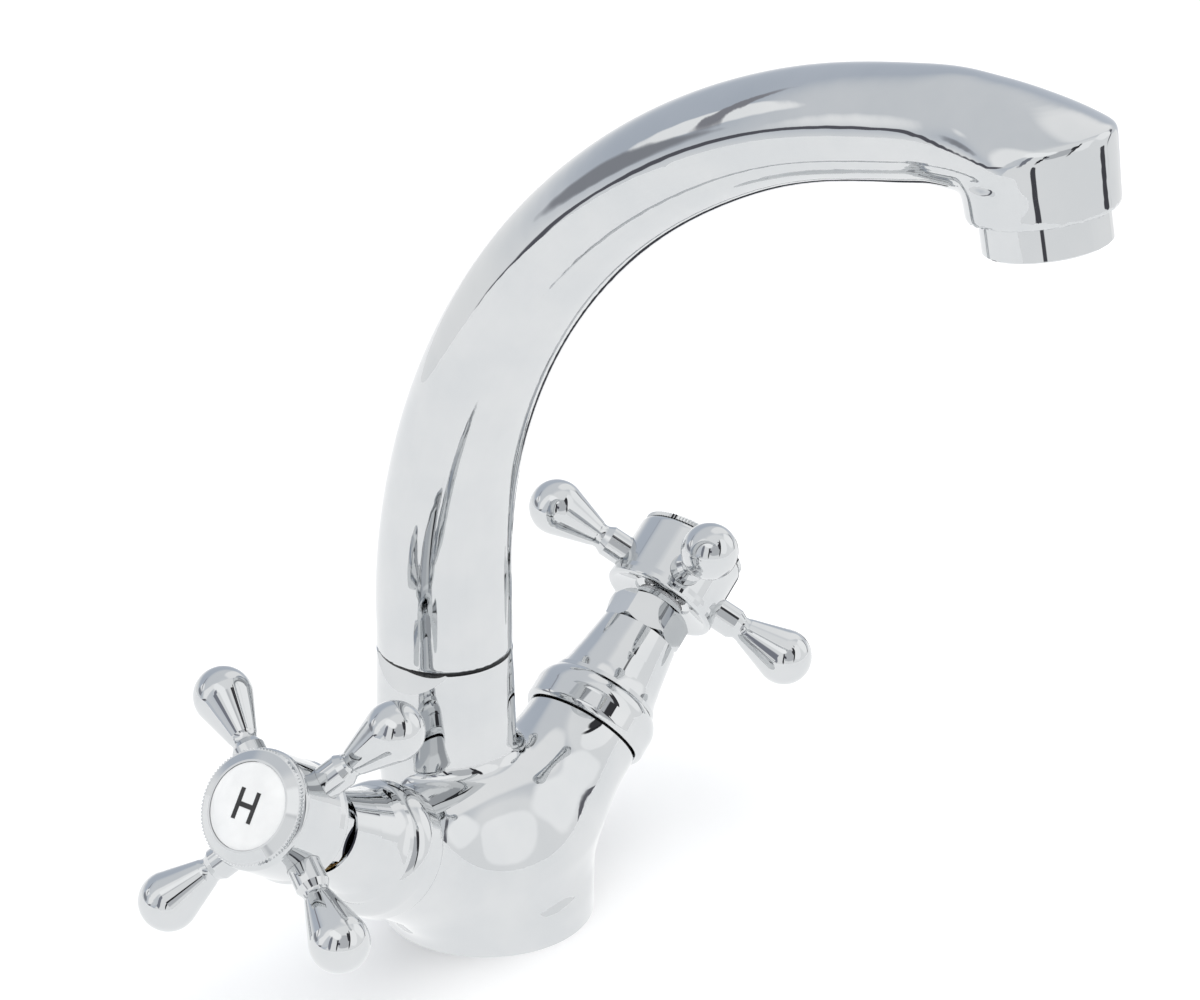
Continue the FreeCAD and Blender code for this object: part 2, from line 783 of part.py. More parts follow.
def index_cap(side):
    """Knurled ring with a sloping bezel round the tray of the index disc."""
    blank = turned(
        f"{side}_cap_blank",
        [
            ("cap_inner", "cap_foot"),
            ("cap_spigot", "cap_foot"),
            ("cap_spigot", "cap_seat"),
            ("knurl_radius", "cap_seat"),
            ("knurl_radius", "knurl_top"),
            ("bezel_edge", "knurl_top"),
            ("bezel_radius", "bezel_top"),
            ("tray_radius", "bezel_top"),
            ("tray_radius", "tray_floor"),
            ("cap_inner", "tray_floor"),
        ],
        place=valve_place(side),
    )
    return shared(f"{side}_index_cap", blank, knurl_prism(side))


def index_disc(side, letter):
    """White disc with a flat middle for its letter and a curved margin."""
    blank = turned(
        f"{side}_disc_blank",
        [
            ("0", "tray_floor + snug"),
            ("disc_edge_radius", "tray_floor + snug"),
            ("disc_edge_radius", "disc_edge"),
            ("disc_flat", "disc_crown", "disc_curve", "left"),
            ("0", "disc_crown"),
        ],
        place=valve_place(side),
    )
    return carved(f"{side}_index_disc", blank, [letter])


def letter_bars(side):
    """Plain H for hot or C for cold, standing upright in the disc's plane."""
    height = value("letter_height")
    stroke = value("letter_stroke")
    deep = value("letter_top") - value("letter_floor")
    half = value("letter_width") / 2
    if side == "hot":
        boxes = [
            (-half, -height / 2, stroke, height),
            (half - stroke, -height / 2, stroke, height),
            (-half, -stroke / 2, 2 * half, stroke),
        ]
        bars = [Part.makeBox(wide, tall, deep, Vector(x, y, 0)) for x, y, wide, tall in boxes]
        shape = bars[0].multiFuse(bars[1:]).removeSplitter()
    else:
        outer = Part.makeCylinder(height / 2, deep)
        inner = Part.makeCylinder(height / 2 - stroke, deep)
        mouth = Part.makeBox(height, height / 2, deep, Vector(value("letter_mouth"), -height / 4, 0))
        shape = outer.cut(inner).cut(mouth)
    return shape


def index_letter(side):
    """Letter inlaid in the disc; upright for someone standing in front of the basin."""
    up = 90.0 if side == "cold" else -90.0
    turn = Placement(Vector(0, 0, value("letter_floor")), Rotation(Vector(0, 0, 1), up))
    return shaped(f"{side}_index_letter", letter_bars(side), valve_place(side) * turn)


def handle_pieces(side):
    """Everything that turns with one handle."""
    place = valve_place(side)
    letter = index_letter(side)
    seals = seal_pair(
        f"{side}_spindle_seals",
        "seal_root",
        "spindle_radius",
        ("seal_low", "seal_high"),
        "seal_width",
        place,
    )
    clip = ring(f"{side}_circlip", "spindle_neck + snug", "clip_radius", "clip_low", "clip_high", place)
    moving = ported_disc(f"{side}_moving_disc", side, "fixed_top", "moving_top")
    levers = [lever(side, number) for number in range(1, 5)]
    return [
        spindle(side),
        seals,
        clip,
        moving,
        hub(side),
        *levers,
        handle_screw(side),
        index_cap(side),
        index_disc(side, letter),
        letter,
    ]


# ---------------------------------------------------------------- spout

def section(centre, normal, half_width, outer, inner):
    """Closed section of four quarter arcs: its outer and inner halves differ in height."""
    edges = []
    for quarter in range(4):
        tall = outer if quarter < 2 else inner
        start = math.radians(90 * quarter)
        arc = Part.ArcOfCircle(Part.Circle(), start, start + math.pi / 2)
        spread = FreeCAD.Matrix(
            half_width, 0, 0, centre.x,
            0, normal.y * tall, 0, centre.y,
            0, normal.z * tall, 1, centre.z,
            0, 0, 0, 1,
        )
        edges.append(arc.toShape().transformGeometry(spread))
    return Part.Wire(edges)


def spout_radius(turn):
    """Outer radius of the bent tube, thinning from its root as it turns."""
    left = max(0.0, 1.0 - turn / value("taper_end"))
    end = value("spout_end_radius")
    return end + (value("spout_root_radius") - end) * left ** 2


def spout_sections():
    """Sections from the root, round the bend and along the widening head."""
    back = value("column_back")
    bend = value("spout_bend")
    level = value("spout_bend_level")
    sections = []
    for height in (value("spout_bottom"), (value("spout_bottom") + level) / 2):
        root = value("spout_root_radius")
        sections.append(section(Vector(0, back, height), Vector(0, 1, 0), root, root, root))
    for step in range(BEND_STEPS):
        turn = value("head_turn") * step / (BEND_STEPS - 1)
        out = Vector(0, math.cos(math.radians(turn)), math.sin(math.radians(turn)))
        centre = Vector(0, back - bend, level) + out * bend
        radius = spout_radius(turn)
        sections.append(section(centre, out, radius, radius, radius))
    for number in range(1, HEAD_STEPS + 1):
        reach, top, wide, outer, inner = (
            value(f"head_{name}_{number}A") for name in ("reach", "top", "wide", "outer", "inner")
        )
        centre = Vector(0, back - reach, top - outer)
        sections.append(section(centre, Vector(0, 0, 1), wide, outer, inner))
    return sections


def spout_shell():
    """Outer shape: bent tube whose head widens over a round outlet block."""
    tube = shaped("spout_tube", Part.makeLoft(spout_sections(), True))
    slope = (value("outlet_top_radius") - value("outlet_radius")) / value("outlet_height")
    low = value("outlet_radius")
    high = value("limit_height")
    wide = value("limit_width")
    column = Part.makeCone(low, low + slope * high, high)
    column.Placement = outlet_place("aerator_drop")
    behind = Part.makeBox(wide, value("limit_depth"), value("limit_tall"))
    behind.Placement = at(-wide / 2, value("column_back - split_reach"), 0)
    limits = shaped("head_limits", column.fuse(behind))
    tube_kept = shared("spout_tube_trimmed", tube, limits)
    tall = value("outlet_wall_top - aerator_drop")
    wall = Part.makeCone(low, low + slope * tall, tall)
    outlet = shaped("outlet_wall", wall, outlet_place("aerator_drop"))
    return joined("spout_shell", [tube_kept, outlet])


def spigot():
    """Spigot that turns in the column, with two seal grooves and the keeper's groove."""
    grooves = []
    for low, high, root in (
        ("ring_low", "ring_low + ring_width", "ring_root"),
        ("ring_high", "ring_high + ring_width", "ring_root"),
        ("keeper_level - keeper_half", "keeper_level + keeper_half", "keeper_radius"),
    ):
        grooves += [("spigot_radius", low), (root, low), (root, high), ("spigot_radius", high)]
    return turned(
        "spigot",
        [
            ("0", "spigot_bottom"),
            ("spigot_radius", "spigot_bottom"),
            *grooves,
            ("spigot_radius", "spout_bottom + 1"),
            ("0", "spout_bottom + 1"),
        ],
        place=at(0, value("column_back"), 0),
    )


def spout_bores():
    back = value("column_back")
    bend = doc.addObject("Part::Torus", "bend_bore")
    bind(bend, "Radius1", "spout_bend")
    bind(bend, "Radius2", "spout_bore_radius")
    bend.Angle3 = 90.0
    upright = Rotation(Vector(0, 1, 0), Vector(0, 0, 1), Vector(1, 0, 0))
    bend.Placement = Placement(
        Vector(0, value("column_back - spout_bend"), value("spout_bend_level")), upright
    )
    crest = Vector(0, back - value("spout_bend"), value("spout_bend_level + spout_bend"))
    meeting = outlet_place("outlet_bore_top - 2").Base
    return [
        rod(
            "spigot_bore",
            "spout_bore_radius",
            "spout_bend_level - spigot_bottom",
            at(0, back, value("spigot_bottom")),
        ),
        bend,
        passage("head_bore", "head_bore_radius", crest, meeting),
        rod(
            "outlet_bore",
            "outlet_bore_radius",
            "outlet_bore_top - aerator_drop",
            outlet_place("aerator_drop"),
        ),
    ]


def spout_pieces():
    outer = joined("spout_outer", [spout_shell(), spigot()])
    spout = carved("spout", outer, spout_bores())
    seals = seal_pair(
        "spout_seals",
        "ring_root",
        "spigot_radius + snug",
        ("ring_low", "ring_high"),
        "ring_width",
        at(0, value("column_back"), 0),
    )
    return [spout, seals, *aerator_pieces()]


# ---------------------------------------------------------------- aerator

def aerator_housing():
    """Threaded collar with an inner lip and two spanner flats, front and back."""
    place = outlet_place("0")
    blank = turned(
        "aerator_blank",
        [
            ("aerator_lip", "0"),
            ("aerator_radius - aerator_bevel", "0"),
            ("aerator_radius", "aerator_bevel"),
            ("aerator_radius", "aerator_drop"),
            ("aerator_thread", "aerator_drop"),
            ("aerator_thread", "aerator_top"),
            ("aerator_bore", "aerator_top"),
            ("aerator_bore", "lip_height"),
            ("aerator_lip", "lip_height"),
        ],
        place=place,
    )
    sizes = ("flat_cut_width", "flat_cut_depth", "flat_top + 1")
    front = -value("flat_distance + flat_cut_depth")
    flats = []
    for name, across in (("front", front), ("back", value("flat_distance"))):
        corner = Placement(Vector(-value("flat_cut_width") / 2, across, -1), Rotation())
        flats.append(block(f"aerator_{name}_flat", sizes, place * corner))
    return carved("aerator_housing", blank, flats)


def aerator_insert():
    """Flow former: a cup whose floor is a grille of straight bars."""
    place = outlet_place("0")
    cup = turned(
        "insert_cup",
        [
            ("0", "lip_height + snug"),
            ("insert_radius", "lip_height + snug"),
            ("insert_radius", "insert_top"),
            ("insert_radius - insert_wall", "insert_top"),
            ("insert_radius - insert_wall", "insert_floor + insert_wall"),
            ("0", "insert_floor + insert_wall"),
        ],
        place=place,
    )
    width = value("slot_width")
    edge = value("insert_radius - slot_margin")
    slots = []
    for number in range(GRILLE_SLOTS):
        across = (number - (GRILLE_SLOTS - 1) / 2) * value("slot_pitch")
        reach = math.sqrt(edge ** 2 - across ** 2)
        corner = Vector(-reach, across - width / 2, 0)
        slots.append(Part.makeBox(2 * reach, width, value("insert_top"), corner))
    grille = shaped("insert_slots", Part.makeCompound(slots), place)
    return carved("aerator_insert", cup, [grille])


def aerator_pieces():
    place = outlet_place("0")
    screen = turned(
        "aerator_screen",
        [
            ("0", "screen_low"),
            ("insert_radius", "screen_low"),
            ("insert_radius", "screen_high"),
            ("0", "screen_high"),
        ],
        place=place,
    )
    washer = ring(
        "aerator_washer", "washer_inner", "aerator_thread", "aerator_top + snug", "washer_top", place
    )
    return [aerator_housing(), aerator_insert(), screen, washer]


# ---------------------------------------------------------------- pieces fixed in the body

def base_pieces():
    column = at(0, value("column_back"), 0)
    body = carved("body", blend_creases(casting), body_drillings())
    seal = ring("base_seal", "seal_inner", "seal_outer", "0", "seal_depth")
    bearing = ring(
        "spout_bearing_ring",
        "column_bore_radius + snug",
        "column_radius - bearing_inset",
        "column_top",
        "spout_bottom - snug",
        column,
    )
    rear = value("column_back + column_radius - grub_inset")
    grub = turned(
        "spout_grub_screw",
        [
            ("grub_socket_radius", "0"),
            ("grub_radius", "0"),
            ("grub_radius", "grub_thread"),
            ("grub_tip_radius", "grub_thread"),
            ("grub_tip_radius", "grub_length"),
            ("0", "grub_length"),
            ("0", "grub_socket"),
            ("grub_socket_radius", "grub_socket"),
        ],
        place=at(0, rear, value("keeper_level"), Vector(0, -1, 0)),
    )
    return [body, seal, bearing, grub]


keep(*base_pieces())
for side in SIDES:
    keep(*valve_pieces(side), *handle_pieces(side))
keep(*spout_pieces())
doc.recompute()

faults = []
for thing in doc.Objects:
    if "Invalid" in thing.State or "Error" in thing.State:
        faults.append(f"{thing.Label}: {thing.State}")
for part in PARTS:
    if part.Shape.isNull() or not part.Shape.isValid() or part.Shape.Volume <= 0:
        faults.append(f"{part.Label}: bad shape")
if faults:
    raise RuntimeError("; ".join(faults))

os.makedirs("parts", exist_ok=True)
for part in PARTS:
    part.Shape.exportStep(f"parts/{part.Label}.step")
    print(f"{part.Label}: {part.Shape.Volume:.1f} mm3, {len(part.Shape.Solids)} solid(s)")
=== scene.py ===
"""Looks of the basin mixer: polished chrome, porcelain index discs and a studio stage."""
import json
import math

import bmesh
import bpy
import numpy as np
from mathutils import Matrix, Vector


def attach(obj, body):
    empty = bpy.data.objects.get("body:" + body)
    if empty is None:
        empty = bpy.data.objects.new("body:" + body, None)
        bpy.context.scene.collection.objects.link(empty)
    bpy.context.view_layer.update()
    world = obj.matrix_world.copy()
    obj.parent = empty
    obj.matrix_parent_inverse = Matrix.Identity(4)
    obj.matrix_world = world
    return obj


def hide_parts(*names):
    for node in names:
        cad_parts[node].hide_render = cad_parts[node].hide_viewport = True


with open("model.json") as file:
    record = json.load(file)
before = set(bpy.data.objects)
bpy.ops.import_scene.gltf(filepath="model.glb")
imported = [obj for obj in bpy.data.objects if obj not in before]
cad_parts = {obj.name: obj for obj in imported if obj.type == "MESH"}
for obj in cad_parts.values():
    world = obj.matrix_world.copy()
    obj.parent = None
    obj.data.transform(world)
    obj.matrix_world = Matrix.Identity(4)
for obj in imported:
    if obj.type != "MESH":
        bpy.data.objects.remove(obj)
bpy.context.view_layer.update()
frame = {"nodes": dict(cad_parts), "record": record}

nodes = frame["nodes"]
FINISH = {part["node"]: part["material_slot"] for part in frame["record"]["subparts"]}


# ---------------------------------------------------------------- node helpers

class Graph:
    """Node tree with short calls: add a node, link sockets, set values.

    An input is given by its name, or by its number after an underscore.
    """

    def __init__(self, tree):
        self.tree = tree

    def add(self, kind, settings=None, **inputs):
        node = self.tree.nodes.new(f"ShaderNode{kind}")
        for name, setting in (settings or {}).items():
            setattr(node, name, setting)
        for name, given in inputs.items():
            self.feed(node.inputs[int(name[1:])] if name[1:].isdigit() else node.inputs[name], given)
        return node

    def feed(self, socket, given):
        if isinstance(given, bpy.types.NodeSocket):
            self.tree.links.new(given, socket)
        else:
            socket.default_value = given

    def math(self, operation, first, second=0.0):
        node = self.add("Math", {"operation": operation}, _0=first, _1=second)
        return node.outputs[0]

    def dot(self, first, second):
        node = self.add("VectorMath", {"operation": "DOT_PRODUCT"}, _0=first, _1=second)
        return node.outputs["Value"]

    def fade(self, amount, start, end):
        """0 at start, 1 at end, with soft ends."""
        node = self.add("MapRange", {"interpolation_type": "SMOOTHSTEP"}, _0=amount, _1=start, _2=end)
        return node.outputs[0]

    def spread(self, amount, start, end, low, high):
        node = self.add("MapRange", None, _0=amount, _1=start, _2=end, _3=low, _4=high)
        return node.outputs[0]

    def mix(self, amount, first, second):
        node = self.add("Mix", {"data_type": "RGBA"}, _0=amount, _6=first, _7=second)
        return node.outputs[2]

    def noise(self, place, scale, detail=2.0, roughness=0.5, distortion=0.0):
        node = self.add(
            "TexNoise",
            Vector=place,
            Scale=scale,
            Detail=detail,
            Roughness=roughness,
            Distortion=distortion,
        )
        return node.outputs["Fac"]

    def stretched(self, place, scales):
        return self.add("Mapping", Vector=place, Scale=scales).outputs[0]

    def bump(self, height, depth):
        return self.add("Bump", Height=height, Distance=depth).outputs[0]


def new_material(name):
    material = bpy.data.materials.new(name)
    material.use_nodes = True
    graph = Graph(material.node_tree)
    shader = material.node_tree.nodes["Principled BSDF"]
    place = graph.add("TexCoord").outputs["Object"]
    return material, graph, shader, place


# ---------------------------------------------------------------- materials

CHROME_DARK = (0.63, 0.647, 0.66, 1)
CHROME_LIGHT = (0.67, 0.682, 0.69, 1)
CHROME_ROUGHNESS = 0.018
CHROME_HAZE = 0.02
BRASS_DARK = (0.62, 0.42, 0.17, 1)
BRASS_LIGHT = (0.78, 0.56, 0.26, 1)
BRASS_GRAIN = (900, 900, 3500)
RIPPLE_SCALE = 3.1
RIPPLE_SHARE = 0.05
PLATED_FROM = 0.036
PLATED_EDGE = 0.0005


def mottled(graph, tone, dark, light, low=0.3, high=0.7):
    """Colour that drifts between two near shades."""
    return graph.mix(graph.fade(tone, low, high), dark, light)


def chrome(name, wave_scale, wave_depth):
    """Bright chrome plating: slow polishing waves, faint wipe haze and pin-prick spots."""
    material, graph, shader, place = new_material(name)
    shader.inputs["Metallic"].default_value = 1.0
    tone = graph.noise(place, 55.0, 3.0, 0.55)
    graph.feed(shader.inputs["Base Color"], mottled(graph, tone, CHROME_DARK, CHROME_LIGHT))
    film = graph.noise(graph.stretched(place, (1.0, 1.0, 0.35)), 160.0, 4.0, 0.6, 0.6)
    spots = graph.noise(place, 900.0, 2.0, 0.5)
    spotted = graph.math("MULTIPLY", graph.fade(spots, 0.68, 0.76), 0.03)
    film_amount = graph.spread(film, 0.35, 0.75, CHROME_ROUGHNESS, CHROME_ROUGHNESS + CHROME_HAZE)
    graph.feed(shader.inputs["Roughness"], graph.math("ADD", film_amount, spotted))
    waves = graph.noise(place, wave_scale, 1.0, 0.4)
    ripple = graph.noise(place, wave_scale * RIPPLE_SCALE, 1.0, 0.4)
    soft = graph.bump(waves, wave_depth)
    fine = graph.add("Bump", Height=ripple, Distance=wave_depth * RIPPLE_SHARE, Normal=soft)
    graph.feed(shader.inputs["Normal"], fine.outputs[0])
    return material


def metal(name, dark, light, roughness, grain, depth):
    """Turned or rolled metal with fine tool marks."""
    material, graph, shader, place = new_material(name)
    shader.inputs["Metallic"].default_value = 1.0
    lines = graph.noise(graph.stretched(place, grain), 1.0, 3.0, 0.6)
    tone = graph.noise(place, 240.0, 3.0, 0.6)
    graph.feed(shader.inputs["Base Color"], mottled(graph, tone, dark, light))
    graph.feed(shader.inputs["Roughness"], graph.spread(lines, 0.3, 0.7, roughness, roughness + 0.14))
    graph.feed(shader.inputs["Normal"], graph.bump(lines, depth))
    return material


def headwork():
    """Brass cartridge whose outer end is chrome plated, where it shows under the handle."""
    material, graph, shader, place = new_material("headwork")
    shader.inputs["Metallic"].default_value = 1.0
    lines = graph.noise(graph.stretched(place, BRASS_GRAIN), 1.0, 3.0, 0.6)
    tone = graph.noise(place, 240.0, 3.0, 0.6)
    level = graph.dot(place, (0.0, 0.0, 1.0))
    plated = graph.fade(level, PLATED_FROM - PLATED_EDGE, PLATED_FROM)
    brass = mottled(graph, tone, BRASS_DARK, BRASS_LIGHT)
    plate = mottled(graph, tone, CHROME_DARK, CHROME_LIGHT)
    graph.feed(shader.inputs["Base Color"], graph.mix(plated, brass, plate))
    rough = graph.spread(lines, 0.3, 0.7, 0.2, 0.34)
    shine = graph.math("MULTIPLY", rough, graph.spread(plated, 0.0, 1.0, 1.0, 0.15))
    graph.feed(shader.inputs["Roughness"], shine)
    graph.feed(shader.inputs["Normal"], graph.bump(lines, 1e-5))
    return material


def dull(name, dark, light, roughness, grain, depth, specular):
    """Rubber, fibre or plastic: mottled colour over a fine moulded grain."""
    material, graph, shader, place = new_material(name)
    shader.inputs["Specular IOR Level"].default_value = specular
    tone = graph.noise(place, 300.0, 4.0, 0.6)
    skin = graph.noise(place, grain, 3.0, 0.6)
    graph.feed(shader.inputs["Base Color"], mottled(graph, tone, dark, light))
    graph.feed(shader.inputs["Roughness"], graph.spread(skin, 0.3, 0.7, roughness - 0.06, roughness + 0.08))
    graph.feed(shader.inputs["Normal"], graph.bump(skin, depth))
    return material


def glazed(name, dark, light, coat):
    """Fired white porcelain or lapped ceramic under a clear glaze."""
    material, graph, shader, place = new_material(name)
    shader.inputs["Coat Weight"].default_value = coat
    shader.inputs["Coat Roughness"].default_value = 0.04
    tone = graph.noise(place, 130.0, 4.0, 0.55)
    graph.feed(shader.inputs["Base Color"], mottled(graph, tone, dark, light, 0.25, 0.75))
    skin = graph.noise(place, 420.0, 2.0, 0.5)
    graph.feed(shader.inputs["Roughness"], graph.spread(skin, 0.3, 0.7, 0.12, 0.2))
    graph.feed(shader.inputs["Normal"], graph.bump(skin, 0.00001))
    return material


CAST = chrome("chrome_cast", 38.0, 0.00014)
TUBE = chrome("chrome_tube", 22.0, 0.0001)
TURNED = chrome("chrome_turned", 85.0, 0.00004)
HEADWORK = headwork()
LOOKS = {
    "chrome": TURNED,
    "brass": metal("brass", BRASS_DARK, BRASS_LIGHT, 0.22, BRASS_GRAIN, 2e-5),
    "stainless": metal("stainless", (0.5, 0.5, 0.51, 1), (0.62, 0.62, 0.63, 1), 0.2, (2500, 2500, 600), 1e-5),
    "rubber": dull("rubber", (0.012, 0.012, 0.013, 1), (0.03, 0.03, 0.032, 1), 0.55, 1400.0, 3e-5, 0.4),
    "fibre": dull("fibre", (0.01, 0.009, 0.009, 1), (0.022, 0.02, 0.019, 1), 0.7, 900.0, 5e-5, 0.3),
    "black_acetal": dull(
        "black_acetal", (0.006, 0.006, 0.007, 1), (0.012, 0.012, 0.014, 1), 0.4, 1200.0, 1e-5, 0.4
    ),
    "nylon": dull("nylon", (0.66, 0.66, 0.63, 1), (0.74, 0.74, 0.72, 1), 0.42, 1200.0, 1e-5, 0.5),
    "valve_ceramic": glazed("valve_ceramic", (0.74, 0.71, 0.66, 1), (0.83, 0.81, 0.77, 1), 0.2),
    "porcelain": glazed("porcelain", (0.8, 0.805, 0.8, 1), (0.88, 0.885, 0.88, 1), 0.8),
    "letter_black": dull(
        "letter_black", (0.006, 0.006, 0.007, 1), (0.018, 0.018, 0.02, 1), 0.2, 700.0, 1e-5, 0.6
    ),
}
for node_name, thing in nodes.items():
    look = LOOKS[FINISH[node_name]]
    if node_name == "body":
        look = CAST
    if node_name == "spout":
        look = TUBE
    if node_name.endswith(("cartridge_body", "spindle")):
        look = HEADWORK
    thing.data.materials.clear()
    thing.data.materials.append(look)


# ---------------------------------------------------------------- blended body casting

# sizes in millimetres
MM = 0.001
CELL = 0.8
LOW_CORNER = (-46.0, -25.0, -2.0)
HIGH_CORNER = (46.0, 27.5, 60.5)
SHARP_ANGLE = 32.0
BORE_SEGMENTS = 96
PROBE = 0.01
LEAST_SLOPE = 0.2
SETTLE_ROUNDS = 4

FOOT_RADIUS = 22.5
FOOT_TOP = 4.4
FLARE_CENTRE = 13.5
FLARE_LEVEL = 4.29
FLARE_RADIUS = 9.0
FLARE_TOP = 8.6
WAIST_CENTRE = 36.49
WAIST_LEVEL = 13.91
WAIST_RADIUS = 16.0
DOME_LEVEL = 14.4
DOME_RADIUS = 20.5

RISE = math.radians(35.385)
VALVE_LEVEL = 3.97
ARM_RADIUS = 13.5
ARM_START = 13.0
ARM_TAPER = 0.02366
ARM_END = 40.05
ARM_BLEND = 15.0
FOOT_BLEND = 3.0
FOOT_HEIGHT = 16.0

COLUMN_BACK = 10.7
COLUMN_RADIUS = 14.75
COLUMN_TOP = 58.1
COLUMN_TAPER = 0.5
SWEEP_TOP = 36.0
SWEEP_BOTTOM = 4.0
SWEEP_FORWARD = 6.7
SWEEP_FORWARD_POWER = 1.311
SWEEP_SPREAD = 2.55
SWEEP_SPREAD_POWER = 2.213
COLUMN_BLEND = 3.0

COLUMN_BORE = 11.1
COLUMN_BORE_FLOOR = 35.0
VALVE_BORE = 10.0
VALVE_BORE_FLOOR = 20.0
RECESS_RADIUS = 16.0
RECESS_DEPTH = 3.0
GRUB_BORE = 2.55
GRUB_LEVEL = 50.0
GRUB_START = 15.25


def blended(first, second, reach):
    """Smooth union of two distance fields."""
    near = np.maximum(reach - np.abs(first - second), 0.0) / reach
    return np.minimum(first, second) - near * near * reach / 4.0


def dome_field(x, y, z):
    """Base band, flare and waist up to the dome's widest level, then the dome."""
    out = np.hypot(x, y)
    flare = FLARE_CENTRE + np.sqrt(np.maximum(FLARE_RADIUS ** 2 - (z - FLARE_LEVEL) ** 2, 0.0))
    waist = WAIST_CENTRE - np.sqrt(np.maximum(WAIST_RADIUS ** 2 - (z - WAIST_LEVEL) ** 2, 0.0))
    radius = np.where(z < FOOT_TOP, FOOT_RADIUS, np.where(z < FLARE_TOP, flare, waist))
    ball = np.hypot(out, z - DOME_LEVEL) - DOME_RADIUS
    return np.where(z < DOME_LEVEL, out - radius, ball)


def arm_field(x, y, z, side):
    """Tapering arm on one valve's axis."""
    along = side * x * math.cos(RISE) + (z - VALVE_LEVEL) * math.sin(RISE)
    off = np.sqrt(np.maximum(x * x + y * y + (z - VALVE_LEVEL) ** 2 - along * along, 0.0))
    radius = ARM_RADIUS - ARM_TAPER * (np.maximum(along, ARM_START) - ARM_START)
    return np.hypot(off, np.minimum(along - ARM_START, 0.0)) - radius


def column_field(x, y, z):
    """Upright column whose back sweeps in to the base."""
    fall = np.clip((SWEEP_TOP - z) / (SWEEP_TOP - SWEEP_BOTTOM), 0.0, 1.1)
    climb = np.clip((z - SWEEP_TOP) / (COLUMN_TOP - SWEEP_TOP), 0.0, 1.2)
    middle = COLUMN_BACK - SWEEP_FORWARD * fall ** SWEEP_FORWARD_POWER
    radius = COLUMN_RADIUS + SWEEP_SPREAD * fall ** SWEEP_SPREAD_POWER - COLUMN_TAPER * climb
    return np.hypot(x, y - middle) - radius


def body_field(points):
    x, y, z = points[..., 0], points[..., 1], points[..., 2]
    reach = FOOT_BLEND + (ARM_BLEND - FOOT_BLEND) * np.clip(z / FOOT_HEIGHT, 0.0, 1.0)
    shell = blended(dome_field(x, y, z), arm_field(x, y, z, -1.0), reach)
    shell = blended(shell, arm_field(x, y, z, 1.0), reach)
    return blended(shell, column_field(x, y, z), COLUMN_BLEND)


def surface(field, low, high, cell):
    """Quad mesh of a field's zero surface: one vertex in each cell that it crosses."""
    counts = [int(math.ceil((b - a) / cell)) + 1 for a, b in zip(low, high)]
    axes = [a + cell * np.arange(n) for a, n in zip(low, counts)]
    grid = np.stack(np.meshgrid(*axes, indexing="ij"), axis=-1)
    amount = field(grid)
    inside = amount < 0
    size = tuple(n - 1 for n in counts)
    total = np.zeros(size + (3,))
    hits = np.zeros(size)
    corners = [(i, j, k) for i in (0, 1) for j in (0, 1) for k in (0, 1)]
    for start in corners:
        for axis in range(3):
            if start[axis]:
                continue
            end = tuple(1 if n == axis else start[n] for n in range(3))
            a = tuple(slice(o, o + s) for o, s in zip(start, size))
            b = tuple(slice(o, o + s) for o, s in zip(end, size))
            crossed = inside[a] != inside[b]
            span = amount[a] - amount[b]
            share = np.where(crossed, amount[a] / np.where(span == 0, 1.0, span), 0.0)
            point = grid[a] + (grid[b] - grid[a]) * share[..., None]
            total += np.where(crossed[..., None], point, 0.0)
            hits += crossed
    used = hits > 0
    number = np.full(size, -1)
    number[used] = np.arange(used.sum())
    points = total[used] / hits[used][:, None]
    quads = []
    for axis in range(3):
        one, two = (axis + 1) % 3, (axis + 2) % 3
        first = [slice(None)] * 3
        second = [slice(None)] * 3
        for other in (one, two):
            first[other] = slice(1, -1)
            second[other] = slice(1, -1)
        first[axis] = slice(None, -1)
        second[axis] = slice(1, None)
        change = inside[tuple(first)].astype(int) - inside[tuple(second)].astype(int)
        where = np.argwhere(change != 0)
        if not len(where):
            continue
        sense = change[tuple(where.T)]
        cells = []
        for da, db in ((0, 0), (1, 0), (1, 1), (0, 1)):
            place = where.copy()
            place[:, one] += da
            place[:, two] += db
            cells.append(number[tuple(place.T)])
        quad = np.stack(cells, axis=1)
        quad[sense < 0] = quad[sense < 0][:, ::-1]
        quads.append(quad)
    return settle(field, points), np.concatenate(quads)


def settle(field, points):
    """Move points onto the field's zero surface."""
    for _ in range(SETTLE_ROUNDS):
        amount = field(points)
        ahead = np.stack([field(points + PROBE * unit) for unit in np.eye(3)], axis=-1)
        behind = np.stack([field(points - PROBE * unit) for unit in np.eye(3)], axis=-1)
        slope = (ahead - behind) / (2 * PROBE)
        points = points - slope * (amount / np.maximum((slope ** 2).sum(-1), LEAST_SLOPE))[:, None]
    return points


def mesh_object(name, points, faces):
    mesh = bpy.data.meshes.new(name)
    mesh.from_pydata([tuple(p) for p in points * MM], [], [tuple(int(n) for n in f) for f in faces])
    thing = bpy.data.objects.new(name, mesh)
    bpy.context.scene.collection.objects.link(thing)
    return thing


def trimmed(thing, planes):
    """Cut a shell off flat at planes of (point, outward direction) and close each cut."""
    shell = bmesh.new()
    shell.from_mesh(thing.data)
    for point, outward in planes:
        everything = shell.verts[:] + shell.edges[:] + shell.faces[:]
        bmesh.ops.bisect_plane(
            shell, geom=everything, plane_co=point, plane_no=outward, dist=1e-7, clear_outer=True
        )
        rim = [edge for edge in shell.edges if edge.is_boundary]
        rim = [e for e in rim if all(abs((v.co - Vector(point)).dot(outward)) < 1e-5 for v in e.verts)]
        bmesh.ops.edgeloop_fill(shell, edges=rim)
    bmesh.ops.recalc_face_normals(shell, faces=shell.faces)
    shell.to_mesh(thing.data)
    shell.free()


